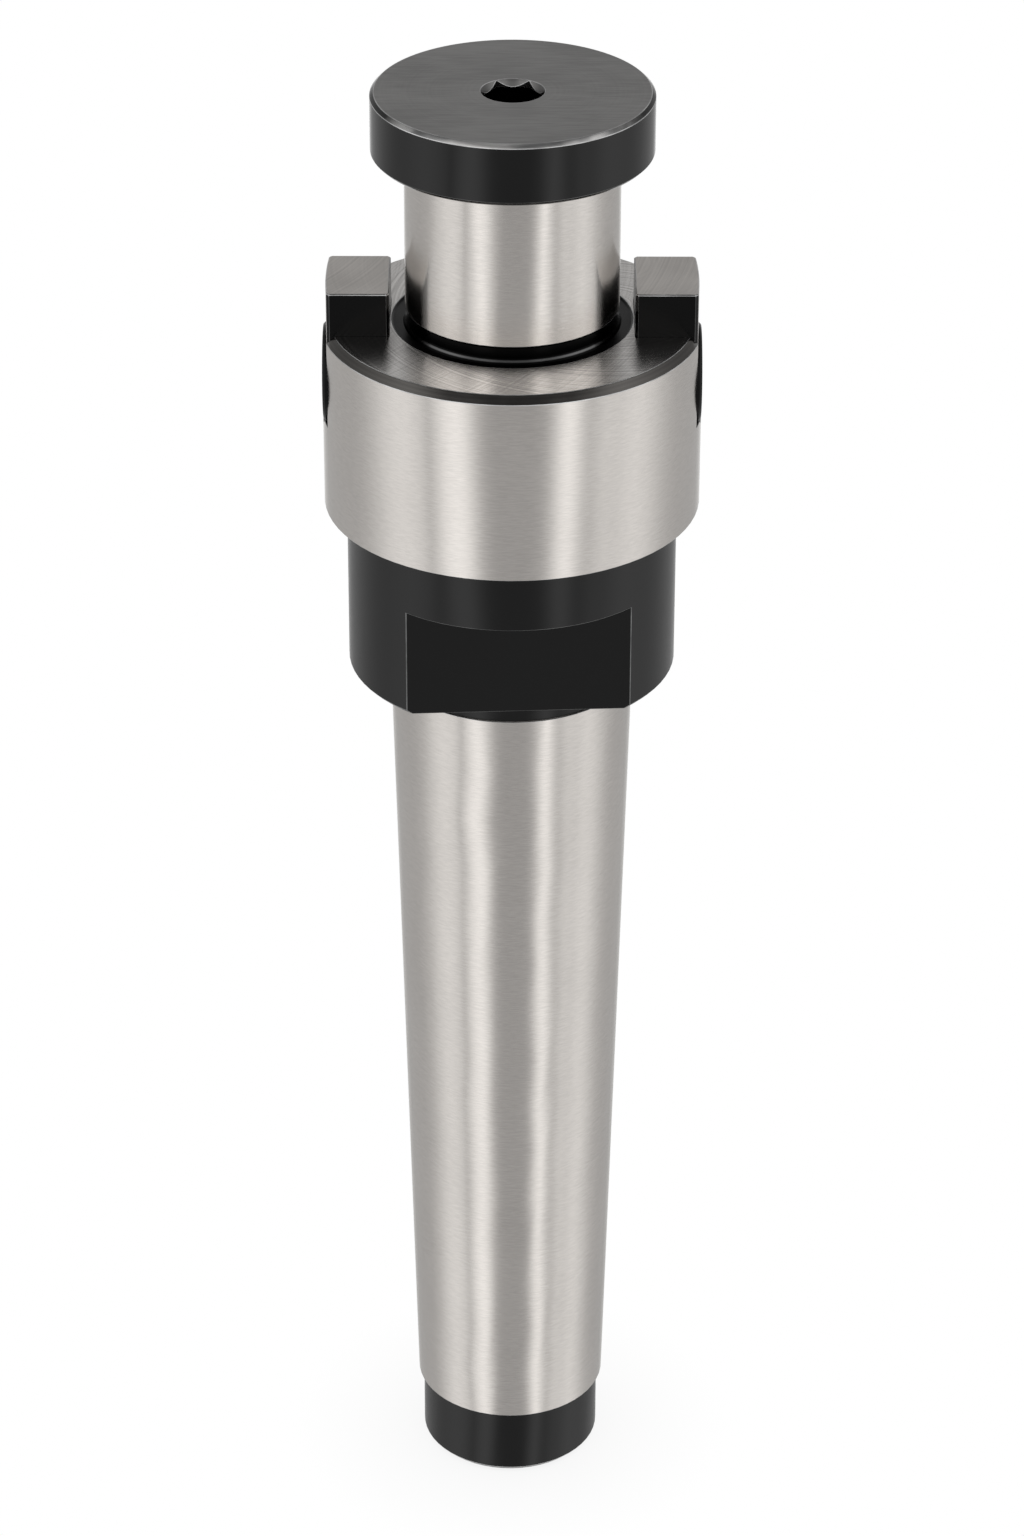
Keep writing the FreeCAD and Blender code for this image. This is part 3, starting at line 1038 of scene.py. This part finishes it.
@dataclass
class DriveKeys:
    """The two keys, black apart from their ground tops and outer faces."""

    outer_reach: float = 23.1 * MM
    outer_half: float = 5.66 * MM
    outer_blur: float = 0.01 * MM
    top_skin: float = 0.05 * MM
    top_blur: float = 0.02 * MM
    level: float = 0.65
    low: float = 0.86
    high: float = 1.12
    roughness: float = 0.32
    first_arcs: float = 0.25
    arc_height: float = 1.5
    haze: Grain = Grain(130.0, 130.0, 130.0)
    haze_share: float = 0.45
    tone_edge: Pair = (0.5, 0.2)
    oxide: BlackOxide = BlackOxide(level=0.0006, roughness=0.2, specular=0.18)
    edge: RubbedEdgeAndHighlight = RubbedEdgeAndHighlight(faint=0.2)
    edge_drop: float = 0.3 * MM
    rounding: Rounding = Rounding(width=0.045 * MM)

    def material(self, top: float, steel: GroundSteel) -> bpy.types.Material:
        """Return black oxide with a ground face at a height, and on the outside.

        Args:
            top: The height of the keys' top faces.
            steel: The ground finish.

        Returns:
            The material.
        """
        material = Material("key_steel")
        graph = material.graph
        outside = abs(material.x).above(self.outer_reach, self.outer_blur)
        outside = outside * (1.0 - abs(material.y).above(self.outer_half, self.outer_blur))
        upper = material.z.above(top - self.top_skin, self.top_blur)
        ground = upper.math("MAXIMUM", upper, outside)
        black = 1.0 - ground
        arcs = steel.arcs(graph, material.x, material.y, self.first_arcs)
        soot = graph.noise(material.point, self.oxide.soot)
        haze = graph.noise(material.point, self.haze)
        tone = arcs * (1.0 - self.haze_share) + haze * self.haze_share
        tone = tone.above(*self.tone_edge)
        bright = graph.greys(tone, self.level * self.low, self.level * self.high, steel.warmth)
        height = arcs * ground * self.arc_height + soot * black * self.oxide.soot_height
        return material.finish(
            Base_Color=graph.mix(ground, self.oxide.colour(graph, soot), bright),
            Metallic=ground,
            Roughness=ground * self.roughness + black * self.oxide.roughness,
            Normal=graph.bump(height, *steel.relief),
            Specular_IOR_Level=self.oxide.specular,
        )

    def build(self, shop: Shop) -> None:
        """Make both keys.

        Args:
            shop: What the pieces are made with.
        """
        low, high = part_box(Node.RIGHT_KEY.value)
        material = self.material(high[2], shop.steel)
        edge = self.edge.material("rubbed_key_edge_and_highlight", low[2], high[2] - self.edge_drop)
        for node in (Node.LEFT_KEY, Node.RIGHT_KEY):
            shop.fit(shop.copy(node, material, self.rounding, edge), Body.ARBOR, node)


@dataclass
class KeyScrews:
    """The low-head screws that hold the keys."""

    oxide: BlackOxide = BlackOxide(level=0.0008, roughness=0.28, specular=0.2)
    rounding: Rounding = Rounding(width=0.05 * MM)

    def build(self, shop: Shop) -> None:
        """Make both screws.

        Args:
            shop: What the pieces are made with.
        """
        material = self.oxide.material("key_screw_oxide")
        for node in (Node.LEFT_SCREW, Node.RIGHT_SCREW):
            shop.fit(shop.copy(node, material, self.rounding, material), Body.ARBOR, node)


@dataclass
class ClampScrew:
    """The wide-headed screw in the pilot."""

    head_radius: float = 17.65 * MM
    head_chamfer: float = 0.5 * MM
    face_skin: float = 0.06 * MM
    blur: float = 0.02 * MM
    highlight_wear_reach: float = 9.0 * MM
    highlight_wear_from: float = 16.5 * MM
    highlight_wear_blur: float = 3.5 * MM
    socket_across: float = 6.92 * MM
    socket_depth: float = 5.4 * MM
    mouth_radius: float = 4.0 * MM
    mouth_depth: float = 0.9 * MM
    mouth_skin: float = 0.1 * MM
    mouth_blur: float = 0.05 * MM
    mouth_sides: int = 120
    above: float = 0.4 * MM
    oxide: BlackOxide = BlackOxide(level=0.0001, roughness=0.13, mottle=0.05, specular=0.4)
    thin: ThinBlack = ThinBlack()
    edge: RubbedEdgeAndHighlight = RubbedEdgeAndHighlight(faint=0.2)
    edge_drop: float = 2.0 * MM
    rounding: Rounding = Rounding(width=0.06 * MM)
    groove: HelixProfile = HelixProfile(
        radius=6.0 * MM, pitch=1.75 * MM, bottom=169.4 * MM, turns=13.5,
        base_reach=0.12 * MM, tip_reach=-1.07 * MM, base_half=0.766 * MM, tip_half=0.22 * MM,
    )

    def material(self, top: float) -> bpy.types.Material:
        """Return black oxide, thin and grey on the ground top, and worn on its chamfer, painted
        bright along the front as a highlight.

        Args:
            top: The height of the head's top face.

        Returns:
            The material.
        """
        material = Material("clamp_screw_oxide")
        graph, point, thin = material.graph, material.point, self.thin
        reach = material.x.hypot(material.y)
        face = material.z.above(top - self.face_skin, self.blur)
        strokes = graph.noise(point, thin.strokes)
        rings = graph.rings(reach, *thin.rings)
        haze = graph.noise(point, thin.haze)
        patches = graph.noise(point, thin.patches)
        soot = graph.noise(point, self.oxide.soot)

        # Painted highlight with wear: the chamfer is painted bright bare steel in patches along the
        # front, where a highlight falls
        chamfer = material.z.above(top - self.head_chamfer, self.blur) * (1.0 - face)
        chamfer = chamfer * reach.above(self.head_radius - self.head_chamfer - self.blur, self.blur)
        front = patches * self.highlight_wear_reach - material.y
        chamfer = chamfer * front.above(self.highlight_wear_from, self.highlight_wear_blur)
        mouth = material.z.above(top - self.mouth_depth, self.blur) * (1.0 - face)
        mouth = mouth * (1.0 - reach.above(self.mouth_radius + self.mouth_skin, self.mouth_blur))
        highlight_wear_and_mouth = chamfer + mouth
        black = 1.0 - face - highlight_wear_and_mouth

        dark = graph.mix(highlight_wear_and_mouth, self.oxide.colour(graph, soot), thin.highlight_wear_and_mouth(graph, patches, mouth))
        rough = face * (thin.roughness + haze * thin.mottle) + highlight_wear_and_mouth * thin.worn_roughness
        height = (strokes * thin.stroke_height + rings * thin.ring_height) * face + rings * highlight_wear_and_mouth
        return material.finish(
            Base_Color=graph.mix(face, dark, thin.colour(graph, strokes, rings, haze)),
            Metallic=face * thin.metallic + highlight_wear_and_mouth,
            Roughness=rough + black * self.oxide.rough(soot),
            Normal=graph.bump(height + soot * black * self.oxide.soot_height, *thin.relief),
            Specular_IOR_Level=self.oxide.specular,
        )

    def socket_cutters(self, top: float) -> tuple[bpy.types.Object, ...]:
        """Return a hexagon and a cone that recut the socket with a smooth round mouth.

        Args:
            top: The height of the head's top face.

        Returns:
            The two cutters.
        """
        flat = self.socket_across / 2.0
        corner = self.socket_across / math.sqrt(3.0)
        wide = self.mouth_radius + self.above * (self.mouth_radius - flat) / self.mouth_depth
        high = top + self.above
        hexagon = ((corner, top - self.socket_depth), (corner, high))
        cone = ((flat, top - self.mouth_depth), (wide, high))
        return (
            ringed_cutter("socket_cutter", hexagon, 6),
            ringed_cutter("mouth_cutter", cone, self.mouth_sides),
        )

    def build(self, shop: Shop) -> None:
        """Make the screw, recut its socket and cut its thread.

        Args:
            shop: What the pieces are made with.
        """
        _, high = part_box(Node.CLAMP.value)
        material = self.material(high[2])
        cutters = self.socket_cutters(high[2])
        edge = self.edge.material("rubbed_screw_edge_and_highlight", 0.0, high[2] - self.edge_drop)
        screw = shop.copy(Node.CLAMP, material, self.rounding, edge, cutters)
        cut(screw, shop.helix.sweep("clamp_thread_cutter", self.groove, material))
        shop.fit(screw, Body.SCREW, Node.CLAMP)


# Studio
@dataclass(frozen=True)
class Softbox:
    """A tall soft light, seen from the object at an angle from the camera's side."""

    azimuth_deg: float
    width_deg: float
    strength: float


@dataclass
class Studio:
    """The light round the object and the floor that it stands on.

    Edges are heights of a direction, from 0 at the horizon to 1 straight up, or angles
    from the camera's side in degrees.
    """

    low_front: float = 0.425
    low_side: float = 0.485
    high_front: float = 0.64
    high_back: float = 0.38
    top_level: float = 0.12
    crown_level: float = 0.6
    side_edge_deg: Pair = (110.0, 20.0)
    backdrop_edge_deg: Pair = (164.0, 10.0)
    upward_edge: Pair = (0.05, 0.25)
    top_edge: Pair = (0.81, 0.07)
    crown_edge: Pair = (0.96, 0.02)
    floor_size: float = 4.0
    floor_gap: float = 0.05 * MM
    floor_level: float = 1.0
    shadow_level: float = 0.86
    shadow_reach: float = 20.0 * MM
    shadow_samples: int = 16
    softboxes: tuple[Softbox, ...] = (
        Softbox(-70.0, 26.0, 0.52),
        Softbox(-51.0, 3.0, -0.16),
        Softbox(-41.2, 6.5, 0.20),
        Softbox(-31.1, 10.6, 0.67),
        Softbox(33.8, 9.7, 0.73),
        Softbox(56.2, 7.7, 0.21),
        Softbox(80.7, 23.7, 0.50),
    )

    def light(self) -> None:
        """Light the object from all round, with white behind it for the camera."""
        world = bpy.data.worlds.new("studio")
        world.use_nodes = True
        bpy.context.scene.world = world
        graph = Graph(world.node_tree)
        x, y, z = graph.split(graph.node("ShaderNodeTexCoord", output="Generated"))
        azimuth = x.math("ARCTAN2", x, -y) * math.degrees(1.0)
        side = abs(azimuth).above(*self.side_edge_deg)
        low = self.low_front + side * (self.low_side - self.low_front)
        high = self.high_front + side * (self.high_back - self.high_front)
        upward = z.above(*self.upward_edge)
        level = low.fade(high, upward)
        for box in self.softboxes:
            away = (azimuth - box.azimuth_deg) / box.width_deg
            level = level + (-(away * away)).exp() * box.strength
        level = level.fade(self.top_level, z.above(*self.top_edge))
        level = level.fade(self.crown_level, z.above(*self.crown_edge))

        # White for the camera, and in metal and glass where the backdrop stands
        backdrop = abs(azimuth).above(*self.backdrop_edge_deg) * (1.0 - upward)
        camera = graph.node("ShaderNodeLightPath", output="Is Camera Ray")
        glossy = graph.node("ShaderNodeLightPath", output="Is Glossy Ray")
        through = graph.node("ShaderNodeLightPath", output="Is Transmission Ray")
        white = camera + (1.0 - camera) * backdrop * (glossy + through)
        shown = {"Color": level.fade(1.0, white), "Strength": 1.0}
        background = graph.node("ShaderNodeBackground", None, shown)
        graph.node("ShaderNodeOutputWorld", None, {"Surface": background})

    def floor(self) -> None:
        """Lay a white floor that shows a soft contact shadow, and is clear from below."""
        bpy.ops.mesh.primitive_plane_add(size=self.floor_size, location=(0.0, 0.0, -self.floor_gap))
        plane = bpy.context.object
        plane.name = "floor"
        material = bpy.data.materials.new("white_floor")
        material.use_nodes = True
        graph = Graph(material.node_tree)
        settings = {"samples": self.shadow_samples}
        values = {"Distance": self.shadow_reach}
        shade = graph.node("ShaderNodeAmbientOcclusion", settings, values, output="AO")
        white = graph.greys(shade, self.shadow_level, self.floor_level)
        glow = graph.node("ShaderNodeEmission", None, {"Color": white})
        clear = graph.node("ShaderNodeBsdfTransparent")
        seen = graph.node("ShaderNodeLightPath", output="Is Camera Ray")
        seen = seen * (1.0 - graph.node("ShaderNodeNewGeometry", output="Backfacing"))
        shader = graph.node("ShaderNodeMixShader", None, {0: seen, 1: clear, 2: glow})
        graph.node("ShaderNodeOutputMaterial", None, {"Surface": shader})
        plane.data.materials.append(material)


@dataclass(frozen=True)
class Camera:
    """The photograph's camera, solved from the arbor's standard sizes."""

    pitch_deg: float = 29.434
    distance: float = 0.66018
    target_height: float = 0.10676
    side_shift: float = 0.00008
    roll_deg: float = 0.12
    focal_px: float = 4993.9
    photo_height_px: float = 1536.0
    sensor_mm: float = 36.0
    clip_start: float = 10.0 * MM

    def build(self) -> None:
        """Place the camera and make it the scene's own."""
        data = bpy.data.cameras.new("camera")
        data.sensor_width = self.sensor_mm
        data.lens = self.focal_px * self.sensor_mm / self.photo_height_px
        data.dof.use_dof = False
        data.clip_start = self.clip_start
        pitch = math.radians(self.pitch_deg)
        camera = bpy.data.objects.new("camera", data)
        reach = Vector((0.0, -math.cos(pitch), math.sin(pitch))) * self.distance
        camera.location = Vector((self.side_shift, 0.0, self.target_height)) + reach
        camera.rotation_mode = "ZYX"
        camera.rotation_euler = (math.pi / 2 - pitch, 0.0, math.radians(self.roll_deg))
        bpy.context.scene.collection.objects.link(camera)
        bpy.context.scene.camera = camera


def corners(box: Box) -> list[list[float]]:
    """Return a box's corners as plain lists."""
    return [[float(value) for value in corner] for corner in box]


def main() -> None:
    """Build the scene."""
    logging.basicConfig(level=logging.INFO, format="%(name)s: %(message)s")
    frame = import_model()
    bpy.context.scene.view_settings.view_transform = "Standard"

    arbor = ArborBody()
    edge = RubbedEdgeAndHighlight().material("rubbed_edge_and_highlight", arbor.neck_low, arbor.flange_low - arbor.edge_drop)
    shop = Shop(frame, HelixTree(), edge)
    for piece in (arbor, DriveKeys(), KeyScrews(), ClampScrew()):
        piece.build(shop)
    studio = Studio()
    studio.light()
    studio.floor()
    Camera().build()


if __name__ == "__main__":
    main()
